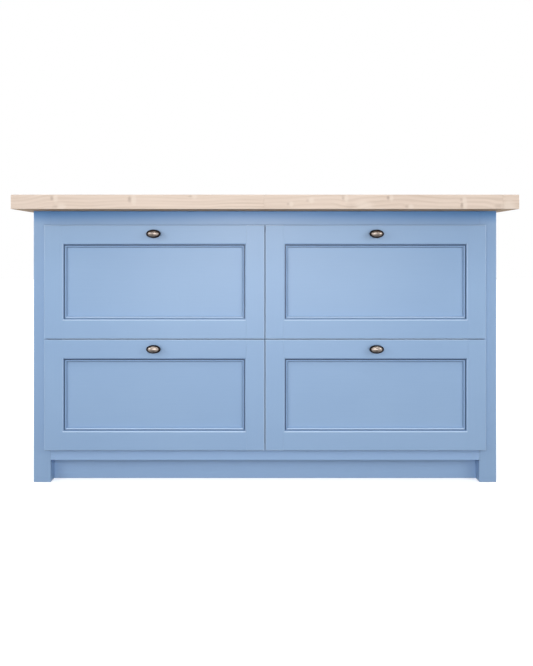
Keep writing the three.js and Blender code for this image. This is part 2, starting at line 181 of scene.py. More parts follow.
class Nodes:
    """A node tree while it is made."""

    def __init__(self, tree):
        self.tree = tree

    def add(self, kind, settings=None, values=()):
        """A node: its settings first, then the values or links of its sockets."""
        made = self.tree.nodes.new(kind)
        for key, value in (settings or {}).items():
            setattr(made, key, value)
        pairs = values.items() if isinstance(values, dict) else enumerate(values)
        for key, value in pairs:
            self.feed(made.inputs[key], value)
        return made

    def feed(self, socket, value):
        if isinstance(value, Channel):
            value = value.socket
        if isinstance(value, bpy.types.NodeSocket):
            self.tree.links.new(value, socket)
        else:
            socket.default_value = value

    def place(self):
        return self.add("ShaderNodeTexCoord").outputs["Object"]

    def axes(self, vector):
        node = self.add("ShaderNodeSeparateXYZ", None, (vector,))
        return [Channel(self, socket) for socket in node.outputs]

    def vector(self, along, across, height):
        node = self.add("ShaderNodeCombineXYZ", None, (along, across, height))
        return node.outputs[0]

    def scaled(self, vector, scale):
        node = self.add("ShaderNodeVectorMath", {"operation": "MULTIPLY"}, (vector, scale))
        return node.outputs[0]

    def seen_directly(self):
        """1 for a ray from the camera, straight or by way of a gloss or glass."""
        path = self.add("ShaderNodeLightPath")
        camera, glossy, through = (Channel(self, path.outputs[f"Is {kind} Ray"])
                                   for kind in ("Camera", "Glossy", "Transmission"))
        return camera.larger(glossy).larger(through)

    def noise(self, vector, scale, detail=2.0, roughness=0.5):
        """Soft noise from about 0 to 1, in vector's units times the scale on each axis."""
        values = {"Vector": self.scaled(vector, scale), "Scale": 1.0, "Detail": detail,
                  "Roughness": roughness}
        return Channel(self, self.add("ShaderNodeTexNoise", None, values).outputs[0])

    def mix(self, share, first, second):
        node = self.add("ShaderNodeMix", {"data_type": "RGBA"}, {0: share, 6: first, 7: second})
        return node.outputs[2]


class Finish(Nodes):
    """A material while it is made: its nodes and the surface that they feed."""

    def __init__(self, name, roughness=0.5, metallic=0.0):
        self.material = bpy.data.materials.new(name)
        self.material.use_nodes = True
        super().__init__(self.material.node_tree)
        self.surface = self.tree.nodes["Principled BSDF"]
        self.set(roughness=roughness, metallic=metallic)

    def set(self, **values):
        for key, value in values.items():
            self.feed(self.surface.inputs[key.replace("_", " ").title()], value)

    def attribute(self, name, output="Vector"):
        return self.add("ShaderNodeAttribute", {"attribute_name": name}).outputs[output]

    def number(self, name):
        return Channel(self, self.attribute(name, "Fac"))

    def bump(self, height, distance, strength=1.0):
        values = {"Height": height, "Distance": distance, "Strength": strength}
        self.set(normal=self.add("ShaderNodeBump", None, values).outputs[0])


MARKED = 0.95  # how far a full mark hides the paint


def blue_paint():
    """Eggshell paint laid on by brush along each board, over timber whose grain shows."""
    finish = Finish("blue_eggshell_paint")
    grain = finish.attribute("grain")
    strokes = finish.noise(grain, (6, 260, 260), detail=3, roughness=0.6)
    clouds = finish.noise(finish.place(), (2.4, 2.4, 3.2), detail=3)
    fibres = finish.noise(grain, (3, 110, 110), detail=4, roughness=0.65)
    tone = finish.number("tone")
    share = 0.5 + (clouds - 0.5) * 0.9 + (strokes - 0.5) * 0.3 + (tone - 0.5) * 0.08
    fresh = finish.mix(share.ramp(0, 1), srgb(139, 170, 208), srgb(149, 179, 214))
    # Just under the worktop the paint is made a deeper blue: painted shade of the overhang.
    under_top_shade = finish.axes(finish.place())[Z].ramp(WORKTOP_LOW.z - UNDER_TOP_SHADE_DROP, WORKTOP_LOW.z)
    # The bottom rail and the front plinth are painted paler: painted light where the fronts
    # shade them.
    painted_lift = finish.mix(finish.number("painted_lift"), fresh, srgb(156, 188, 228))
    shaded_under_top = finish.mix(under_top_shade * MARKED, painted_lift, srgb(91, 148, 211))
    # Arrises, ovolos and beads are made paler: partly thinned paint, partly painted highlight.
    rubbed_and_lit = finish.mix(finish.number("wear_and_highlight") * MARKED, shaded_under_top, srgb(190, 213, 238))
    # The quirks and fillets are darkened: painted shade in the recesses, deepest under the top
    # rail.
    colour = finish.mix(finish.number("painted_shade") * MARKED, rubbed_and_lit, srgb(30, 60, 100))
    finish.set(
        base_color=colour,
        roughness=0.37 + (strokes - 0.5) * 0.16 + (clouds - 0.5) * 0.1,
    )
    finish.bump(strokes * 0.55 + fibres * 0.45, 0.22 * MM, 0.5)
    return finish.material


def limed_pine():
    """Softwood boards under a thin white wash: growth rings, knots and pale pores."""
    finish = Finish("limed_pine")
    finish.surface.inputs["Specular IOR Level"].default_value = 0.3
    grain = finish.attribute("grain")
    along, across, height = finish.axes(grain)
    place = finish.axes(finish.place())
    tone = finish.number("tone")

    bend, heart, halo = edge_knots(finish, place)
    face_bend, face_heart = face_knots(finish, grain, place)
    heart = (heart + face_heart).smaller(1.0)
    sweep = place[X].ramp(END_SWEEP[0], END_SWEEP[1], 1, 0) * END_SWEEP[2]

    sway = finish.noise(grain, (1.7, 2.5, 2.5), detail=2) - 0.5
    ripple = finish.noise(grain, (9, 40, 40), detail=2) - 0.5
    radius = ((across + sway * 0.06) ** 2 + (height + sway * 0.05) ** 2).root()
    bent = radius + bend + face_bend + sweep + ripple * 0.005
    ring = (bent * (2 * math.pi / RING_PITCH)).sine() * 0.5 + 0.5
    latewood = ring ** 1.6
    strength = finish.noise(finish.vector(along, bent, 0.0), (1.6, 45, 1), detail=2)
    streaks = finish.noise(finish.vector(along, bent, height * 0.2), (3.5, 170, 60), detail=3)
    pores = finish.noise(grain, (30, 900, 900), detail=2, roughness=0.7)
    clouds = finish.noise(grain, (4, 30, 30), detail=3)

    pale = finish.mix(tone, srgb(229, 211, 197), srgb(226, 207, 192))
    warm = finish.mix(tone, srgb(205, 185, 168), srgb(200, 181, 162))
    share = latewood * strength * 0.5 + (streaks - 0.5) * 1.3 + (clouds - 0.5) * 0.7 + 0.15
    wood = finish.mix(share.ramp(-0.3, 1.2), pale, warm)
    washed = finish.mix(pores.ramp(0.55, 0.8) * 0.35, wood, srgb(234, 224, 213))
    lifted = finish.mix(halo * 0.5, washed, srgb(235, 221, 208))
    knotted = finish.mix(heart * 0.5, lifted, srgb(134, 112, 96))
    sawn = finish.mix(finish.number("end_grain") * 0.35, knotted, srgb(186, 163, 142))
    bare = finish.mix(finish.number("underside"), sawn, srgb(200, 160, 120))
    finish.set(
        base_color=bare,
        roughness=0.62 + (pores - 0.5) * 0.2 - heart * 0.12,
    )
    finish.bump(latewood * 0.6 + pores * 0.5 - heart * 0.6, 0.3 * MM, 0.6)
    return finish.material


def edge_knots(finish, place):
    """The knots in the front edge: how far each bends the rings, its heart, its pale side."""
    bend = 0.0
    heart = 0.0
    halo = 0.0
    rough = finish.noise(finish.place(), (160, 160, 160), detail=2) - 0.5
    for knot_x, knot_z, half_width, half_height, depth in EDGE_KNOTS:
        sideways = (place[X] - knot_x) * (1 / half_width)
        upward = (place[Z] - knot_z) * (1 / half_height)
        near = (sideways ** 2 + upward ** 2).root()
        ragged = near + rough * 0.9
        bend = bend + near.ramp(0, 4, 1, 0) * (half_width * 0.45)
        heart = heart + ragged.ramp(0.1, 1.7, depth, 0)
        beside = ((sideways - 2.6) ** 2 + upward ** 2 * 0.6).root()
        halo = halo + beside.ramp(0.6, 2.4, 1, 0)
    fade = (place[Y] - WORKTOP_LOW.y).ramp(0.2 * KNOT_REACH, KNOT_REACH, 1, 0)
    return bend * fade, heart * fade, (halo * fade).smaller(1.0)


def face_knots(finish, grain, place):
    """Knots scattered over the boards, away from the front edge."""
    scatter = finish.add(
        "ShaderNodeTexVoronoi",
        {"voronoi_dimensions": "2D"},
        {"Vector": finish.scaled(grain, (2.6, 5.2, 0)), "Scale": 1.0, "Randomness": 1.0},
    )
    chance = finish.axes(scatter.outputs["Color"])[X].ramp(0.42, 0.5)
    wobble = (finish.noise(grain, (35, 35, 35), detail=2) - 0.5) * 0.04
    spot = Channel(finish, scatter.outputs["Distance"]) + wobble
    depth = place[Y] - WORKTOP_LOW.y
    inside = depth.ramp(0.3 * KNOT_REACH, KNOT_REACH) * chance
    return spot.ramp(0, 0.3, 1, 0) * inside * 0.014, spot.ramp(0.02, 0.07, 1, 0) * inside


def birch():
    """Lacquered birch: fine pores along each board, soft figure, darker end grain."""
    finish = Finish("lacquered_birch")
    grain = finish.attribute("grain")
    figure = finish.noise(grain, (2.4, 26, 26), detail=4, roughness=0.6)
    pores = finish.noise(grain, (22, 620, 620), detail=2, roughness=0.7)
    lines = finish.noise(grain, (1.6, 150, 150), detail=3)
    tone = finish.number("tone")
    share = (figure - 0.5) * 1.2 + (lines - 0.5) * 0.8 + tone * 0.5 + 0.25
    face = finish.mix(share.ramp(0, 1), srgb(231, 209, 171), srgb(208, 179, 134))
    flecked = finish.mix(pores.ramp(0.58, 0.75) * 0.4, face, srgb(178, 146, 104))
    colour = finish.mix(finish.number("end_grain") * 0.55, flecked, srgb(171, 132, 88))
    finish.set(
        base_color=colour,
        roughness=0.42 + (pores - 0.5) * 0.15 + finish.number("end_grain") * 0.15,
    )
    finish.bump(pores * 0.5 + lines * 0.5, 0.15 * MM, 0.5)
    return finish.material


def zinc_plate():
    """Rolled steel with bright zinc plating, drawn lightly along its length."""
    finish = Finish("zinc_plated_steel", metallic=0.9)
    place = finish.place()
    drawn = finish.noise(place, (900, 14, 900), detail=2)
    spangle = finish.noise(place, (70, 50, 70), detail=3)
    colour = finish.mix(spangle, srgb(186, 190, 194), srgb(212, 215, 217))
    finish.set(base_color=colour, roughness=0.3 + (drawn - 0.5) * 0.2 + (spangle - 0.5) * 0.12)
    finish.bump(drawn, 0.05 * MM, 0.4)
    return finish.material


def antique_pewter():
    """Cast pewter, blackened, and bright on the dome: partly rubbed by hands, partly painted
    highlight on its upper side and painted shade on its lower.
    """
    finish = Finish("antique_pewter", metallic=1.0)
    place = finish.place()
    rubbed_and_lit = finish.number("rubbed_and_lit")
    cast = finish.noise(place, (420, 420, 420), detail=3, roughness=0.6)
    mottle = finish.noise(place, (130, 130, 130), detail=2)
    share = (rubbed_and_lit + (mottle - 0.5) * 0.3).ramp(0.1, 1.0)
    colour = finish.mix(share, srgb(34, 29, 29), srgb(150, 139, 131))
    finish.set(
        base_color=colour,
        roughness=share.ramp(0, 1, 0.5, 0.27) + (cast - 0.5) * 0.1,
    )
    finish.bump(cast, 0.08 * MM, 0.6)
    return finish.material


# ---- Objects and meshes ----


def linked(name, data):
    """A new object in the scene."""
    obj = bpy.data.objects.new(name, data)
    bpy.context.scene.collection.objects.link(obj)
    return obj


def mesh_of(name, bm):
    """What bm holds as a mesh. It frees bm."""
    mesh = bpy.data.meshes.new(name)
    bm.to_mesh(mesh)
    bm.free()
    return mesh


def settled(obj):
    """The mesh that the modifiers of an object make of its own."""
    bpy.context.view_layer.update()
    depsgraph = bpy.context.evaluated_depsgraph_get()
    return bpy.data.meshes.new_from_object(obj.evaluated_get(depsgraph))


def discard(*objects):
    """Removes objects and their meshes."""
    for obj in objects:
        mesh = obj.data
        bpy.data.objects.remove(obj)
        bpy.data.meshes.remove(mesh)


def gather(whole, parts):
    """Adds several parts to a mesh, each still its own shell."""
    for part in parts:
        mesh = mesh_of("part", part)
        whole.from_mesh(mesh)
        bpy.data.meshes.remove(mesh)
    return whole


# ---- Boards ----


def box_mesh(low, high):
    """A rectangular solid between two corners."""
    low = Vector(low)
    high = Vector(high)
    bm = bmesh.new()
    middle = Matrix.Translation((low + high) / 2)
    bmesh.ops.create_cube(bm, size=1, matrix=middle @ Matrix.Diagonal((*(high - low), 1)))
    return bm


def merged(mesh):
    """A mesh with its points joined up and each flat face in one."""
    bm = bmesh.new()
    bm.from_mesh(mesh)
    bmesh.ops.remove_doubles(bm, verts=bm.verts, dist=TOUCH)
    bmesh.ops.dissolve_limit(bm, angle_limit=math.radians(1), verts=bm.verts, edges=bm.edges)
    return bm


def solid_of(node):
    """A CAD node, whose mesh is loose triangles, as a solid with flat faces."""
    return merged(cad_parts[node].data)


def sharp_edges(bm, least=50):
    """The outward edges that turn by more than so many degrees."""
    return [e for e in bm.edges if len(e.link_faces) == 2
            and e.calc_face_angle_signed() > math.radians(least)]


def ease(bm, width, edges=None, segments=3):
    """Takes the sharpness off the outer edges of a board, as sanding does."""
    chosen = sharp_edges(bm) if edges is None else edges
    bmesh.ops.bevel(bm, geom=chosen, offset=width, offset_type="OFFSET", segments=segments,
                    profile=0.5, affect="EDGES", clamp_overlap=True)
    return bm


END_FACING = 0.8  # how squarely a face of end grain looks along its board


def lay_grain(bm, along):
    """Marks a board with where its timber lies in the tree, so that the finish follows it."""
    across = [axis for axis in (X, Y, Z) if axis != along]
    shift = Vector((draws.uniform(0, 9), draws.uniform(0.03, 0.2), draws.uniform(0.03, 0.2)))
    grain = bm.verts.layers.float_vector.new("grain")
    tone_layer = bm.verts.layers.float.new("tone")
    end_layer = bm.faces.layers.float.new("end_grain")
    level = draws.random()
    middle = sum((v.co for v in bm.verts), Vector()) / len(bm.verts)
    for vert in bm.verts:
        local = vert.co - middle
        vert[grain] = Vector((local[along], local[across[0]], local[across[1]])) + shift
        vert[tone_layer] = level
    bm.normal_update()
    for face in bm.faces:
        face[end_layer] = 1.0 if abs(face.normal[along]) > END_FACING else 0.0
    return bm


def carve(bm, cutters):
    """A solid less the solids of the cutters."""
    rough = linked("rough", mesh_of("rough", bm))
    tools = [linked("tool", mesh_of("tool", cutter)) for cutter in cutters]
    for tool in tools:
        modifier = rough.modifiers.new("cut", "BOOLEAN")
        modifier.object = tool
        modifier.solver = "EXACT"
    cut = settled(rough)
    discard(rough, *tools)
    carved = merged(cut)
    bpy.data.meshes.remove(cut)
    return carved


def joined(boards):
    """Several boards as one mesh, each still its own closed shell with its own grain."""
    whole = bmesh.new()
    whole.verts.layers.float_vector.new("grain")
    for mark in ("tone", "painted_shade", "wear_and_highlight", "underside"):
        whole.verts.layers.float.new(mark)
    whole.faces.layers.float.new("end_grain")
    return gather(whole, boards)


def piece(name, bm, body, materials, smooth=38):
    """A piece, shaded smooth up to an angle in degrees, riding on its body."""
    mesh = mesh_of(name, bm)
    for material in materials:
        mesh.materials.append(material)
    mesh.shade_smooth()
    mesh.set_sharp_from_angle(angle=math.radians(smooth))
    obj = linked(name, mesh)
    even_shading(obj)
    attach(obj, body)
    return obj


def finished(node, bm, body, slot, *materials, smooth=38):
    """The finished piece that stands for a CAD node."""
    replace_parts(piece(f"{node}_finished", bm, body, materials, smooth), node)


def even_shading(obj):
    """Keeps wide faces flat to the eye where they run into an eased edge."""
    modifier = obj.modifiers.new("even", "WEIGHTED_NORMAL")
    modifier.keep_sharp = True
    modifier.weight = 100
    rough = obj.data
    obj.data = settled(obj)
    obj.modifiers.remove(modifier)
    bpy.data.meshes.remove(rough)


# ---- Carcass ----

# How each painted board of the carcass lies
CARCASS_GRAIN = {
    "front_top_rail": X, "front_bottom_rail": X, "plinth_front": X, "plinth_back": X,
    "end_top_rail_left": Y, "end_top_rail_right": Y,
    "end_bottom_rail_left": Y, "end_bottom_rail_right": Y,
    "plinth_left": Y, "plinth_right": Y,
}
INNER_GRAIN = {"carcass_side_left": Z, "carcass_side_right": Z, "carcass_floor": X}
PAINTED_LIFT = {"front_bottom_rail": 0.9, "plinth_front": 0.65}  # how much paler each is painted, as painted light where the fronts and rail shade it


def ellipse_arc(centre, radii, start, end, steps):
    """Points on an ellipse between two angles in degrees, both ends included."""
    angles = [math.radians(start + (end - start) * i / steps) for i in range(steps + 1)]
    return [(centre[0] + radii[0] * math.cos(a), centre[1] + radii[1] * math.sin(a))
            for a in angles]


OVOLO_STEPS = 8
BEAD_STEPS = 16


def bead_profile(start):
    """The moulding from the quirk's floor to the panel, as (distance in, depth)."""
    bead_start = start + QUIRK[0]
    bead_end = bead_start + BEAD_WIDTH
    fillet_end = bead_end + FILLET[0]
    centre = (bead_start + BEAD_WIDTH / 2, QUIRK[1])
    rise = (BEAD_WIDTH / 2, BEAD_CROWN - QUIRK[1])
    return [
        (start, QUIRK[1]),
        *ellipse_arc(centre, rise, 180, 0, BEAD_STEPS),
        (bead_end, FILLET[1]),
        (fillet_end - FILLET_CHAMFER[0], FILLET[1]),
        (fillet_end, FILLET[1] + FILLET_CHAMFER[1]),
        (fillet_end, PANEL_RECESS),
    ]


def settle_painted_shade(bm, quirk_start, inset_of, amount=1.0):
    """Marks painted shade in the recesses: on the quirk's floor, less up its walls, and in the
    corner between the bead and its fillet."""
    painted_shade = bm.verts.layers.float.new("painted_shade")
    crown = quirk_start + QUIRK[0] + BEAD_WIDTH / 2

    def sunk(depth, floor):
        return max(0.0, (depth - OVOLO[1]) / (floor - OVOLO[1]))

    for vert in bm.verts:
        depth = vert.co.z
        inset = inset_of(vert.co)
        if quirk_start - HAIRLINE < inset < crown and depth < QUIRK[1] + HAIRLINE:
            vert[painted_shade] = amount * sunk(depth, QUIRK[1])
        elif inset > crown and depth < PANEL_RECESS + HAIRLINE:
            vert[painted_shade] = amount * FILLET_SHADE * sunk(depth, FILLET[1])


def mitred_lengths(width, height, profile):
    """Four closed lengths of a moulding round a rectangle, in (across, up, depth), each with
    whether it stands upright."""
    lengths = []
    for turn in range(4):
        half_run, half_rise = (width, height) if turn % 2 == 0 else (height, width)
        bm = bmesh.new()
        ends = [[bm.verts.new((side * (half_run / 2 - inset - HAIRLINE),
                               inset - half_rise / 2, depth)) for inset, depth in profile]
                for side in (-1, 1)]
        for i in range(len(profile)):
            j = (i + 1) % len(profile)
            bm.faces.new((ends[0][i], ends[1][i], ends[1][j], ends[0][j]))
        bm.faces.new(ends[0])
        bm.faces.new(reversed(ends[1]))
        bmesh.ops.recalc_face_normals(bm, faces=bm.faces)
        settle_painted_shade(bm, 0.0, lambda place: place.y + half_rise / 2)
        bmesh.ops.rotate(bm, verts=bm.verts, matrix=Matrix.Rotation(turn * math.pi / 2, 3, "Z"))
        lengths.append((bm, turn % 2))
    return lengths


def stand(bm, middle, outward):
    """Turns (across, up, depth) so that depth goes in from a face, at a middle point. That
    mirrors the solid, so its faces are turned back."""
    up = Vector((0, 0, 1))
    outward = Vector(outward)
    across = up.cross(outward)
    turn = Matrix((across, up, -outward)).transposed().to_4x4()
    bmesh.ops.transform(bm, verts=bm.verts, matrix=Matrix.Translation(middle) @ turn)
    bmesh.ops.reverse_faces(bm, faces=bm.faces)
    return bm


STRAIGHT = 0.99  # how nearly an edge runs along its board


def lengthwise(bm, along):
    """The sharp edges of a board that run along it."""
    return [e for e in sharp_edges(bm)
            if abs((e.verts[0].co - e.verts[1].co).normalized()[along]) > STRAIGHT]


def carcass_boards(paint, wood):
    """The rails, plinths and inner boards. The partition's front edge is painted."""
    for node, along in CARCASS_GRAIN.items():
        solid = solid_of(node)
        board = lay_grain(ease(solid, RAIL_ARRIS, lengthwise(solid, along)), along)
        # Paler paint on the boards that the fronts shade: painted light.
        painted_lift = board.verts.layers.float.new("painted_lift")
        for vert in board.verts:
            vert[painted_lift] = PAINTED_LIFT.get(node, 0.0)
        finished(node, board, CABINET, "blue_painted_timber", paint)
    for node, along in INNER_GRAIN.items():
        board = lay_grain(ease(solid_of(node), INNER_EASE), along)
        finished(node, board, CABINET, "birch_board", wood)
    partition = lay_grain(ease(solid_of("centre_partition"), INNER_EASE), Z)
    for face in partition.faces:
        face.material_index = 1 if face.normal.y < -0.5 else 0
    finished("centre_partition", partition, CABINET, "birch_board", wood, paint)


def panel_plate(node, axis, outward):
    """The corners of a panel without its planted bead, which stands proud of it."""
    low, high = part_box(node)
    proud = PANEL_RECESS - BEAD_CROWN
    if outward > 0:
        high[axis] -= proud
    else:
        low[axis] += proud
    return low, high


def panel_groove(node, axis, outward):
    """The groove that a panel's plate is let into, as a solid to cut with."""
    low, high = panel_plate(node, axis, outward)
    slack = Vector((GROOVE_SLACK,) * 3)
    return box_mesh(low - slack, high + slack)


def posts(paint):
    """Posts with the free corner rounded and the feet eased all round."""
    for word, side in SIDES.items():
        for place, rear in (("front", -1), ("back", 1)):
            node = f"post_{place}_{word}"
            low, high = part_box(node)
            grooves = [panel_groove(f"end_panel_{word}", X, side)]
            if rear > 0:
                grooves.append(panel_groove(f"back_panel_{word}", Y, 1))
            bm = carve(box_mesh(low, high), grooves)
            corner = (high.x if side > 0 else low.x, high.y if rear > 0 else low.y)
            free = [e for e in lengthwise(bm, Z) if all(
                abs(v.co.x - corner[0]) < TOUCH and abs(v.co.y - corner[1]) < TOUCH
                for v in e.verts)]
            ease(bm, POST_ARRIS, free, segments=4)
            foot = [e for e in sharp_edges(bm, 30) if max(v.co.z for v in e.verts) < TOUCH]
            ease(bm, FOOT_EASE, foot)
            finished(node, lay_grain(bm, Z), CABINET, "blue_painted_timber", paint)


def moulded_panel(node, outward, paint):
    """A flat panel with a mitred bead planted round it."""
    low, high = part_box(node)
    outward = Vector(outward)
    axis = X if abs(outward.x) > 0.5 else Y
    wide = Y if axis == X else X
    width = high[wide] - low[wide] - 2 * SIDE_TONGUE
    height = high[Z] - low[Z] - 2 * SIDE_TONGUE
    face = high[axis] if outward[axis] > 0 else low[axis]
    middle = (low + high) / 2
    middle[axis] = face + outward[axis] * BEAD_CROWN

    boards = [lay_grain(box_mesh(*panel_plate(node, axis, outward[axis])), Z)]
    profile = [(0.0, PANEL_RECESS), *bead_profile(0.0)]
    for length, upright in mitred_lengths(width, height, profile):
        placed = stand(length, middle, outward)
        boards.append(lay_grain(placed, Z if upright else wide))
    finished(node, joined(boards), CABINET, "blue_painted_timber", paint)


def back_frame(paint):
    low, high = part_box("back_frame")
    bottom_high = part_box("front_bottom_rail")[1].z
    top_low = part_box("front_top_rail")[0].z
    half = MUNTIN_WIDTH / 2
    spans = [
        (low, (high.x, high.y, bottom_high), X),
        ((low.x, low.y, top_low), high, X),
        ((-half, low.y, bottom_high + HAIRLINE), (half, high.y, top_low - HAIRLINE), Z),
    ]
    boards = []
    for board_low, board_high, along in spans:
        grooves = [panel_groove(f"back_panel_{word}", Y, 1) for word in SIDES]
        board = carve(box_mesh(board_low, board_high), grooves)
        boards.append(lay_grain(ease(board, RAIL_ARRIS, lengthwise(board, along)), along))
    finished("back_frame", joined(boards), CABINET, "blue_painted_timber", paint)


# ---- Worktop ----

TOP_ARRIS = 2.5 * MM
LOWER_ARRIS = 1.2 * MM
BOARD_ARRIS = 0.3 * MM

# Where each row of boards, from the front, is butt-jointed along its length
BOARD_JOINTS = ((-0.003, 0.725), (0.31,), (-0.36,), (0.12,), (-0.55, 0.44), (0.02,))


def worktop_board(low, high):
    """One board of the worktop: rounded on the outside, barely eased at its joints."""
    bm = box_mesh(low, high)

    def outside(edge):
        first, second = (v.co for v in edge.verts)
        return any(
            abs(first[axis] - limit) < TOUCH and abs(second[axis] - limit) < TOUCH
            for axis in (X, Y) for limit in (WORKTOP_LOW[axis], WORKTOP_HIGH[axis])
        )
    for level, width in ((WORKTOP_HIGH.z, TOP_ARRIS), (WORKTOP_LOW.z, LOWER_ARRIS)):
        ease(bm, width, [e for e in bm.edges if outside(e) and all(
            abs(v.co.z - level) < TOUCH for v in e.verts)])
    ease(bm, BOARD_ARRIS, sharp_edges(bm, 70), segments=2)
    underside = bm.verts.layers.float.new("underside")
    for vert in bm.verts:
        vert[underside] = 1.0 if vert.co.z < WORKTOP_LOW.z + TOUCH else 0.0
    return lay_grain(bm, X)


def parted(stops):
    """The spans from stop to stop, with a hairline between neighbours."""
    last = len(stops) - 2
    return [(start + (HAIRLINE if i else 0), stop - (HAIRLINE if i < last else 0))
            for i, (start, stop) in enumerate(zip(stops, stops[1:]))]


def worktop(pine):
    depth = (WORKTOP_HIGH.y - WORKTOP_LOW.y) / len(BOARD_JOINTS)
    row_stops = [WORKTOP_LOW.y + row * depth for row in range(len(BOARD_JOINTS) + 1)]
    boards = []
    for (near, far), joints in zip(parted(row_stops), BOARD_JOINTS):
        for start, stop in parted([WORKTOP_LOW.x, *joints, WORKTOP_HIGH.x]):
            boards.append(worktop_board((start, near, WORKTOP_LOW.z),
                                        (stop, far, WORKTOP_HIGH.z)))
    finished("worktop", joined(boards), CABINET, "limed_pine", pine)


# ---- Drawer fronts ----


def front_member(half_flat, half_mitre, thickness, quirk_shade, pale_marks):
    """A stile or rail of a drawer front, in (along, distance in, depth).

    The flat runs to half_flat at each end. The moulding is mitred, and would meet the outer
    edge at half_mitre. The fourth argument says how much painted shade darkens its quirk, and
    the fifth how much paler its arris, ovolo and bead are made, partly as thinned paint and
    partly as painted highlight."""
    ovolo = ellipse_arc((STILE_FLAT, OVOLO[1]), OVOLO, -90, 0, OVOLO_STEPS)
    inner = bead_profile(STILE_FLAT + OVOLO[0])
    sight = inner[-1][0]
    groove_floor = sight - PANEL_GROOVE[0]
    groove_back = PANEL_RECESS + PANEL_GROOVE[1]
    profile = [
        *ovolo, *inner, (groove_floor, PANEL_RECESS), (groove_floor, groove_back),
        (sight, groove_back), (sight, thickness), (STILE_FLAT, thickness),
    ]
    bm = bmesh.new()
    corners = [(0, 0), (STILE_FLAT, 0), (STILE_FLAT, thickness), (0, thickness)]
    flat = {end: [bm.verts.new((end * half_flat, *corner)) for corner in corners]
            for end in (-1, 1)}
    mould = {end: [bm.verts.new((end * (half_mitre - inset), inset, depth))
                   for inset, depth in profile] for end in (-1, 1)}
    low, high = flat[-1], flat[1]
    bm.faces.new(low)
    bm.faces.new(high)
    bm.faces.new((low[0], high[0], high[3], low[3]))
    bm.faces.new((low[0], low[1], mould[-1][0], mould[1][0], high[1], high[0]))
    bm.faces.new((low[3], low[2], mould[-1][-1], mould[1][-1], high[2], high[3]))
    for end in (-1, 1):
        bm.faces.new(mould[end])
        bm.faces.new((flat[end][1], flat[end][2], mould[end][-1], mould[end][0]))
    for i in range(len(profile) - 1):
        bm.faces.new((mould[-1][i], mould[1][i], mould[1][i + 1], mould[-1][i + 1]))
    bmesh.ops.remove_doubles(bm, verts=bm.verts, dist=TOUCH)
    bmesh.ops.recalc_face_normals(bm, faces=bm.faces)
    settle_painted_shade(bm, STILE_FLAT + OVOLO[0], lambda place: place.y, quirk_shade)

    # A stile's ends are outer edges of the front, and a rail's meet the stiles
    end = half_flat if half_flat > half_mitre - STILE_FLAT / 2 else math.inf

    def outer_front(edge):
        first, second = (v.co for v in edge.verts)
        on_face = max(first.z, second.z) < TOUCH
        along_edge = max(first.y, second.y) < TOUCH
        at_end = min(abs(first.x), abs(second.x)) > end - TOUCH and first.x * second.x > 0
        return on_face and (along_edge or at_end)
    ease(bm, FRONT_ARRIS, [e for e in bm.edges if outer_front(e)], segments=4)
    pale_edges(bm, end, *pale_marks)
    return bm


OVOLO_PALE_SHARE = 0.8  # the share of the ovolo's width that is made paler
BEAD_FADE = 3 * MM  # how far below its crown the bead is made paler


def pale_edges(bm, end, arris_pale, ovolo_pale, bead_pale):
    """Marks where the paint is made paler, partly thinned by hands and cloths and partly
    painted
    highlight: the arris, also across an outer end, the ovolo and the bead."""
    wear_and_highlight = bm.verts.layers.float.new("wear_and_highlight")
    bead_start = STILE_FLAT + OVOLO[0] + QUIRK[0]
    for vert in bm.verts:
        inset, depth = vert.co.y, vert.co.z
        eased = HAIRLINE < depth < FRONT_ARRIS - HAIRLINE
        if eased and (inset < FRONT_ARRIS or abs(vert.co.x) > end - FRONT_ARRIS):
            vert[wear_and_highlight] = arris_pale
        elif (HAIRLINE < inset - STILE_FLAT < OVOLO[0] * OVOLO_PALE_SHARE
              and HAIRLINE < depth < OVOLO[1]):
            vert[wear_and_highlight] = ovolo_pale
        elif bead_start < inset < bead_start + BEAD_WIDTH and depth < BEAD_CROWN + BEAD_FADE:
            vert[wear_and_highlight] = bead_pale * (1 - (depth - BEAD_CROWN) / BEAD_FADE)


def front_frame(name, paint):
    """Two stiles and two rails, butted on the flat and mitred along the moulding."""
    node = f"{name}_front_frame"
    low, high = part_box(node)
    middle = (low + high) / 2
    half = (high - low) / 2
    thickness = high.y - low.y
    members = []
    for side in (-1, 1):
        arris_pale = MEETING_PALE if side * middle.x < 0 else OUTER_PALE
        stile = front_member(half.z, half.z - HAIRLINE, thickness, STILE_SHADE,
                             (arris_pale, *STILE_PALE))
        members.append((stile, Matrix((
            (0, -side, 0, middle.x + side * half.x),
            (0, 0, 1, low.y),
            (1, 0, 0, middle.z),
            (0, 0, 0, 1),
        )), Z))
        # The low rail's mouldings face up and take a painted highlight; the top rail's face
        # down and take the most painted shade.
        quirk_shade, pale_marks = ((TOP_RAIL_SHADE, TOP_RAIL_PALE) if side > 0
                     else (LOW_RAIL_SHADE, LOW_RAIL_PALE))
        arris_pale = MEETING_PALE if (side > 0) == name.startswith("lower") else OUTER_PALE
        rail = front_member(half.x - STILE_FLAT - HAIRLINE, half.x - HAIRLINE, thickness, quirk_shade,
                            (arris_pale, *pale_marks))
        members.append((rail, Matrix((
            (1, 0, 0, middle.x),
            (0, 0, 1, low.y),
            (0, -side, 0, middle.z + side * half.z),
            (0, 0, 0, 1),
        )), X))
    boards = []
    for member, matrix, along in members:
        bmesh.ops.transform(member, matrix=matrix, verts=member.verts)
        bmesh.ops.recalc_face_normals(member, faces=member.faces)
        boards.append(lay_grain(member, along))
    finished(node, joined(boards), f"{name}_drawer", "blue_painted_timber", paint, smooth=34)


def drawer_front(name, paint):
    front_frame(name, paint)
    node = f"{name}_front_panel"
    finished(node, lay_grain(solid_of(node), X), f"{name}_drawer", "blue_painted_timber", paint)


# ---- Knobs ----

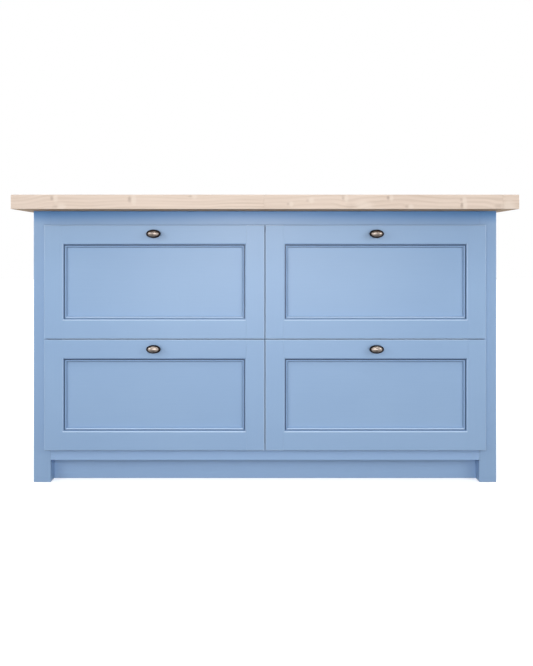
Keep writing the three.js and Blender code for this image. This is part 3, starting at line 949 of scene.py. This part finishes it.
# The section of a knob from its screw's head to its rim: height above the face of the rail,
# half width and half height, in mm, and how bright the metal is rubbed
KNOB_SCREW = (
    (-22.8, 0.0, 0.0, 0.3), (-22.8, 3.6, 3.6, 0.3), (-22.2, 4.4, 4.4, 0.3),
    (-20.5, 4.5, 4.5, 0.3), (-20.3, 2.0, 2.0, 0.2), (0.3, 2.0, 2.0, 0.2),
    (0.3, 8.3, 8.3, 0.0), (0.7, 8.5, 8.5, 0.1), (1.3, 8.4, 8.4, 0.1), (2.4, 7.1, 7.1, 0.1),
    (4.5, 5.9, 5.9, 0.05), (7.25, 5.5, 5.5, 0.05), (10, 6.0, 6.0, 0.05), (12.4, 7.4, 7.2, 0.0),
)
KNOB_RIM = ((13.6, 11.5, 9.4, 0.0), (14.4, 19.5, 11.4, 0.0), (14.7, 21.9, 12.8, 0.0))
KNOB_STEP = ((17.5, 20.6, 12.0, 0.02), (17.2, 20.0, 11.5, 0.0))  # between lip and dome
LIP_CENTRE, LIP_RADII = (22.0, 16.0), (1.0, 1.35)
LIP_HALF_WIDTH, LIP_HALF_HEIGHT = 23, 13.5
DOME_HALF_WIDTH, DOME_HALF_HEIGHT = 19.6, 11.1
DOME_FOOT, DOME_RISE = 17.2, 8.8
DOME_BRIGHT = 0.78  # the share of the dome's half width that is bright; beyond it the dome darkens to its edge, partly patina and partly a painted dark reflection
MEAN_RUB_AND_LIGHT = 0.7  # painted brighter on the upper side of the dome and darker on the lower: painted highlight and shade
LIP_STEPS = 6
DOME_STEPS = 14
KNOB_SPOKES = 72
POLE = 0.001  # a ring narrower than this is one point


def knob_sections():
    """Every ring of a knob, from the end of its screw to the crown of its dome."""
    rings = list(KNOB_SCREW) + list(KNOB_RIM)
    for across, height in ellipse_arc(LIP_CENTRE, LIP_RADII, -80, 80, LIP_STEPS):
        rings.append((height, across, across * LIP_HALF_HEIGHT / LIP_HALF_WIDTH, 0.0))
    rings += KNOB_STEP
    dome = ellipse_arc((0, DOME_FOOT), (DOME_HALF_WIDTH, DOME_RISE), 0, 90, DOME_STEPS)
    for across, height in dome:
        fade = max(0.0, across / DOME_HALF_WIDTH - DOME_BRIGHT) / (1 - DOME_BRIGHT)
        rings.append((height, across, across * DOME_HALF_HEIGHT / DOME_HALF_WIDTH, 1 - fade))
    return rings


def knob(name, pewter):
    """A knob whose dome is painted brighter on its upper side and darker on its lower, as
    painted highlight and shade.
    """
    node = f"{name}_knob"
    low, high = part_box(node)
    front_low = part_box(f"{name}_front_frame")[0]
    bm = bmesh.new()
    rubbed_and_lit = bm.verts.layers.float.new("rubbed_and_lit")
    previous = None
    for height, across, up, bright in knob_sections():
        count = 1 if across < POLE else KNOB_SPOKES
        ring = []
        for spoke in range(count):
            angle = 2 * math.pi * spoke / KNOB_SPOKES
            vert = bm.verts.new((
                (low.x + high.x) / 2 + across * MM * math.cos(angle),
                front_low.y - height * MM,
                (low.z + high.z) / 2 + up * MM * math.sin(angle),
            ))
            # Brighter above and darker below: painted highlight and painted shade on the dome.
            vert[rubbed_and_lit] = bright * (MEAN_RUB_AND_LIGHT + (1 - MEAN_RUB_AND_LIGHT) * math.sin(angle))
            ring.append(vert)
        if previous:
            bridge(bm, previous, ring)
        previous = ring
    bmesh.ops.recalc_face_normals(bm, faces=bm.faces)
    finished(node, bm, f"{name}_drawer", "antique_pewter", pewter, smooth=50)


def bridge(bm, first, second):
    """Faces between two rings of points. A ring of one point is a pole."""
    count = max(len(first), len(second))
    for i in range(count):
        j = (i + 1) % count
        if len(first) == 1:
            bm.faces.new((first[0], second[j], second[i]))
        elif len(second) == 1:
            bm.faces.new((first[i], first[j], second[0]))
        else:
            bm.faces.new((first[i], first[j], second[j], second[i]))


# ---- Drawer boxes ----

BOX_WALL = 15 * MM
TAIL_COUNT = 5
TAIL_SLOPE = 2.6 * MM
PIN_WIDTH = 9 * MM
BOX_EASE = 0.8 * MM
BOTTOM_SLACK = 0.2 * MM  # round the bottom, in its groove
SOCKET_REACH = 1 * MM  # how far a cutter passes the outside of the box
LONG_EDGE = 0.3  # shorter than the boards and longer than any edge of a dovetail


def tail_outline(low, high, end_y, inward):
    """The tails at one end of a box side, as (y, z) points going up."""
    pitch = (high.z - low.z) / TAIL_COUNT
    points = []
    for tail in range(TAIL_COUNT):
        base = low.z + tail * pitch
        root_low = base + PIN_WIDTH / 2 + TAIL_SLOPE
        root_high = base + pitch - PIN_WIDTH / 2 - TAIL_SLOPE
        tip_low = root_low - TAIL_SLOPE
        tip_high = root_high + TAIL_SLOPE
        root_y = end_y + inward * BOX_WALL
        points += [(root_y, root_low), (end_y, tip_low), (end_y, tip_high), (root_y, root_high)]
    return points


def extruded(points, x_low, x_high):
    """A solid from an outline in (y, z), between two values of x."""
    bm = bmesh.new()
    near = [bm.verts.new((x_low, y, z)) for y, z in points]
    far = [bm.verts.new((x_high, y, z)) for y, z in points]
    bm.faces.new(near)
    bm.faces.new(far)
    for i in range(len(points)):
        j = (i + 1) % len(points)
        bm.faces.new((near[i], near[j], far[j], far[i]))
    bmesh.ops.recalc_face_normals(bm, faces=bm.faces)
    return bm


def box_side(low, high, x_low, x_high, slack=0.0):
    """A dovetailed side of a drawer box. Slack widens its tails, for cutting their sockets."""
    front = tail_outline(low, high, low.y, 1)
    rear = tail_outline(low, high, high.y, -1)
    corner_front = low.y + BOX_WALL
    corner_rear = high.y - BOX_WALL
    points = [(corner_front, low.z), *front, (corner_front, high.z), (corner_rear, high.z),
              *reversed(rear), (corner_rear, low.z)]
    if slack:
        points = widened(points, slack, low, high)
    return extruded(points, x_low, x_high)


def widened(points, slack, low, high):
    """The outline pushed outwards at its tails, past the ends of the box."""
    middle_y = (low.y + high.y) / 2
    pitch = (high.z - low.z) / TAIL_COUNT
    moved = []
    for y, z in points:
        out = slack if y > middle_y else -slack
        tail_middle = low.z + (math.floor((z - low.z) / pitch) + 0.5) * pitch
        lift = 0.0 if z in (low.z, high.z) else math.copysign(slack, z - tail_middle)
        moved.append((y + out, z + lift))
    return moved


def drawer_box(name, wood):
    """Four dovetailed boards grooved for the bottom, and the bottom."""
    body = f"{name}_drawer"
    node = f"{name}_box"
    low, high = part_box(node)
    bottom_low, bottom_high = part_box(f"{node}_bottom")
    slack = Vector((BOTTOM_SLACK,) * 3)
    groove = (bottom_low - slack, bottom_high + slack)
    sides = [(low.x, low.x + BOX_WALL), (high.x - BOX_WALL, high.x)]
    boards = []
    for x_low, x_high in sides:
        side = carve(box_side(low, high, x_low, x_high), [box_mesh(*groove)])
        boards.append(lay_grain(ease(side, BOX_EASE, long_edges(side, Y)), Y))
    for y_low, y_high in ((low.y, low.y + BOX_WALL), (high.y - BOX_WALL, high.y)):
        cutters = [box_mesh(*groove)]
        for x_low, x_high in sides:
            if x_low > low.x:
                x_high += SOCKET_REACH
            else:
                x_low -= SOCKET_REACH
            cutters.append(box_side(low, high, x_low, x_high, slack=HAIRLINE))
        end = carve(box_mesh((low.x, y_low, low.z), (high.x, y_high, high.z)), cutters)
        boards.append(lay_grain(ease(end, BOX_EASE, long_edges(end, X)), X))
    finished(node, joined(boards), body, "birch_board", wood)
    bottom = f"{node}_bottom"
    finished(bottom, lay_grain(solid_of(bottom), X), body, "birch_board", wood)


def long_edges(bm, axis):
    """The long outer edges of a board."""
    return [e for e in sharp_edges(bm)
            if abs(e.verts[0].co[axis] - e.verts[1].co[axis]) > LONG_EDGE]


# ---- Runners ----

SCREW_COUNT = 5
SCREW_RADIUS = 3.6 * MM
SCREW_HEIGHT = 1.6 * MM
SCREW_SPOKES = 20
SCREW_END = 35 * MM  # from the end of a runner to its first screw
SCREW_SEAT = 1.25 * MM  # how far a screw's head lies from the back of the steel


def runner_members(name, zinc):
    for place in ("outer", "inner"):
        for owner, body in (("cabinet", CABINET), ("drawer", f"{name}_drawer")):
            node = f"{name}_{owner}_slide_{place}"
            member = ease(solid_of(node), STEEL_EASE, segments=2)
            finished(node, member, body, "zinc_plated_steel", zinc)


def screw_row_tree(material):
    """Geometry nodes: screws in a row, each with a low cone for its head."""
    tree = bpy.data.node_groups.new("screw_row", "GeometryNodeTree")
    sizes = {"Start": "NodeSocketVector", "Step": "NodeSocketVector", "Count": "NodeSocketInt",
             "Radius": "NodeSocketFloat", "Height": "NodeSocketFloat",
             "Turn": "NodeSocketRotation"}
    for label, kind in sizes.items():
        tree.interface.new_socket(label, in_out="INPUT", socket_type=kind)
    tree.interface.new_socket("Geometry", in_out="OUTPUT", socket_type="NodeSocketGeometry")

    nodes = Nodes(tree)
    given = nodes.add("NodeGroupInput").outputs
    row = nodes.add("GeometryNodeMeshLine", {"mode": "OFFSET"}, {
        "Count": given["Count"], "Start Location": given["Start"], "Offset": given["Step"]})
    head = nodes.add("GeometryNodeMeshCone", {"fill_type": "NGON"}, {
        "Vertices": SCREW_SPOKES, "Radius Top": given["Height"],
        "Radius Bottom": given["Radius"], "Depth": given["Height"]})
    placed = nodes.add("GeometryNodeInstanceOnPoints", None, {
        "Points": row.outputs["Mesh"], "Instance": head.outputs["Mesh"],
        "Rotation": given["Turn"]})
    real = nodes.add("GeometryNodeRealizeInstances", None, {
        "Geometry": placed.outputs["Instances"]})
    dressed = nodes.add("GeometryNodeSetMaterial", None, {
        "Geometry": real.outputs["Geometry"], "Material": material})
    nodes.add("NodeGroupOutput", None, {"Geometry": dressed.outputs["Geometry"]})
    return tree


def grown(tree, values):
    """What a tree makes with these values of its named inputs."""
    holder = linked("holder", bpy.data.meshes.new("holder"))
    modifier = holder.modifiers.new("grow", "NODES")
    modifier.node_group = tree
    sockets = {s.name: s.identifier for s in tree.interface.items_tree if s.in_out == "INPUT"}
    for label, value in values.items():
        modifier[sockets[label]] = value
    made = settled(holder)
    discard(holder)
    bm = bmesh.new()
    bm.from_mesh(made)
    bpy.data.meshes.remove(made)
    return bm


def runner_screws(name, tree, zinc):
    """The screws that hold each drawer member to its box, inside the hat section."""
    box_low, box_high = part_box(f"{name}_box")
    rows = []
    for place in ("outer", "inner"):
        low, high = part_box(f"{name}_drawer_slide_{place}")
        side = 1 if (low.x + high.x) > (box_low.x + box_high.x) else -1
        seat = (low.x if side > 0 else high.x) + side * SCREW_SEAT
        step = (high.y - low.y - 2 * SCREW_END) / (SCREW_COUNT - 1)
        rows.append(grown(tree, {
            "Start": (seat, low.y + SCREW_END, (low.z + high.z) / 2),
            "Step": (0, step, 0), "Count": SCREW_COUNT,
            "Radius": SCREW_RADIUS, "Height": SCREW_HEIGHT,
            "Turn": (0, side * math.pi / 2, 0),
        }))
    piece(f"{name}_runner_screws", gather(bmesh.new(), rows), f"{name}_drawer",
          [zinc])


# ---- Studio ----

PHOTO_WIDTH, PHOTO_HEIGHT = 533, 666
AXIS_PIXEL = (265, 250)  # where a level line of sight meets the photograph
FOCAL_PIXELS = 654.6
CAMERA_HEIGHT = 0.745
CAMERA_DISTANCE = 2.1  # from the face of the frame
SENSOR_WIDTH = 36  # in mm, as the lens is
VIEW_REACH = 50


def camera():
    data = bpy.data.cameras.new("camera")
    data.sensor_width = SENSOR_WIDTH
    data.lens = FOCAL_PIXELS / PHOTO_HEIGHT * SENSOR_WIDTH
    data.shift_x = (PHOTO_WIDTH / 2 - AXIS_PIXEL[0]) / PHOTO_HEIGHT
    data.shift_y = (AXIS_PIXEL[1] - PHOTO_HEIGHT / 2) / PHOTO_HEIGHT
    data.clip_end = VIEW_REACH
    eye = linked("camera", data)
    face_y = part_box("front_top_rail")[0].y
    eye.location = (0, face_y - CAMERA_DISTANCE, CAMERA_HEIGHT)
    eye.rotation_euler = (math.pi / 2, 0, 0)
    bpy.context.scene.camera = eye


def softbox(name, place, target, size, power):
    data = bpy.data.lights.new(name, "AREA")
    data.shape = "RECTANGLE"
    data.size, data.size_y = size
    data.energy = power
    lamp = linked(name, data)
    lamp.location = place
    aim = Vector(target) - Vector(place)
    lamp.rotation_euler = aim.to_track_quat("-Z", "Y").to_euler()
    lamp.visible_camera = False


SKY_LEVEL = 0.2
FLOOR_LEVEL = 0.14
FLOOR_SEEN = 0.85
FLOOR_GLOW = 0.5  # near the island, so that its shadow stays
GLOW_REACH = (1.2, 3.2)  # from where the glow rises, to where the floor is white
GRIT = 0.95  # how bright the floor's grit is beside the rest of it
FLOOR_SIZE = 14

# Each lamp: where it is, where it points, its width and height, and its power in watts
LAMPS = {
    "front_softbox": ((-0.1, -2.1, 1.05), (0, -0.3, 0.65), (0.5, 0.45), 5.5),
    "low_softbox": ((-0.05, -2.3, 0.6), (0, -0.3, 0.5), (1.8, 0.6), 13),
    "high_softbox": ((-0.05, -2.3, 2.9), (0, -0.3, 0.6), (0.5, 0.35), 3),
    "high_left_softbox": ((-1.1, -1.4, 2.9), (-0.6, -0.3, 0.3), (0.6, 0.5), 5),
    "high_right_softbox": ((1.1, -1.4, 2.9), (0.6, -0.3, 0.3), (0.6, 0.5), 6),
    "side_left_softbox": ((-2.1, -1.8, 1.3), (-0.4, -0.3, 0.6), (1.1, 1.1), 17),
    "side_right_softbox": ((2.1, -1.8, 1.3), (0.4, -0.3, 0.6), (1.1, 1.1), 17),
    "top_softbox": ((0.0, -0.3, 3.9), (0, -0.1, 0.9), (3.4, 2.4), 34),
    "back_softbox": ((0.0, 3.3, 1.2), (0, 0.3, 0.5), (2.6, 1.6), 48),
    "left_softbox": ((-3.5, 0.9, 1.2), (-0.75, 0.2, 0.5), (2.0, 1.6), 42),
    "right_softbox": ((3.5, 0.9, 1.2), (0.75, 0.2, 0.5), (2.0, 1.6), 42),
}


def grey(level):
    return (level, level, level, 1)


def studio():
    world = bpy.data.worlds.new("studio")
    bpy.context.scene.world = world
    world.use_nodes = True
    sky = Nodes(world.node_tree)
    background = sky.tree.nodes["Background"]
    sky.feed(background.inputs["Color"], grey(1))
    sky.feed(background.inputs["Strength"], sky.seen_directly().ramp(0, 1, SKY_LEVEL, 1))

    floor = Finish("pale_floor", roughness=0.9)
    grit = floor.noise(floor.place(), (8, 8, 8), detail=2)
    seen = floor.seen_directly()
    sideways, deep, _ = floor.axes(floor.place())
    glow = (sideways ** 2 + deep ** 2).root().ramp(*GLOW_REACH, FLOOR_GLOW, 1)
    dull = floor.mix(grit, grey(FLOOR_LEVEL), grey(FLOOR_LEVEL * GRIT))
    floor.set(
        base_color=floor.mix(seen, dull, grey(FLOOR_SEEN)),
        emission_color=seen * glow,
        emission_strength=1.0,
    )
    bm = bmesh.new()
    bmesh.ops.create_grid(bm, x_segments=1, y_segments=1, size=FLOOR_SIZE)
    mesh = mesh_of("floor", bm)
    mesh.materials.append(floor.material)
    ground = linked("floor", mesh)

    for name, (place, target, size, power) in LAMPS.items():
        softbox(name, place, target, size, power)


# ---- Assembly ----

camera()
studio()
painted = blue_paint()
timber = birch()
steel = zinc_plate()
pewter = antique_pewter()

carcass_boards(painted, timber)
posts(painted)
back_frame(painted)
for word, side in SIDES.items():
    moulded_panel(f"end_panel_{word}", (side, 0, 0), painted)
    moulded_panel(f"back_panel_{word}", (0, 1, 0), painted)
worktop(limed_pine())
screw_tree = screw_row_tree(steel)
for drawer in DRAWERS:
    drawer_front(drawer, painted)
    knob(drawer, pewter)
    drawer_box(drawer, timber)
    runner_members(drawer, steel)
    runner_screws(drawer, screw_tree, steel)

view = bpy.context.scene.view_settings
view.view_transform = "Standard"
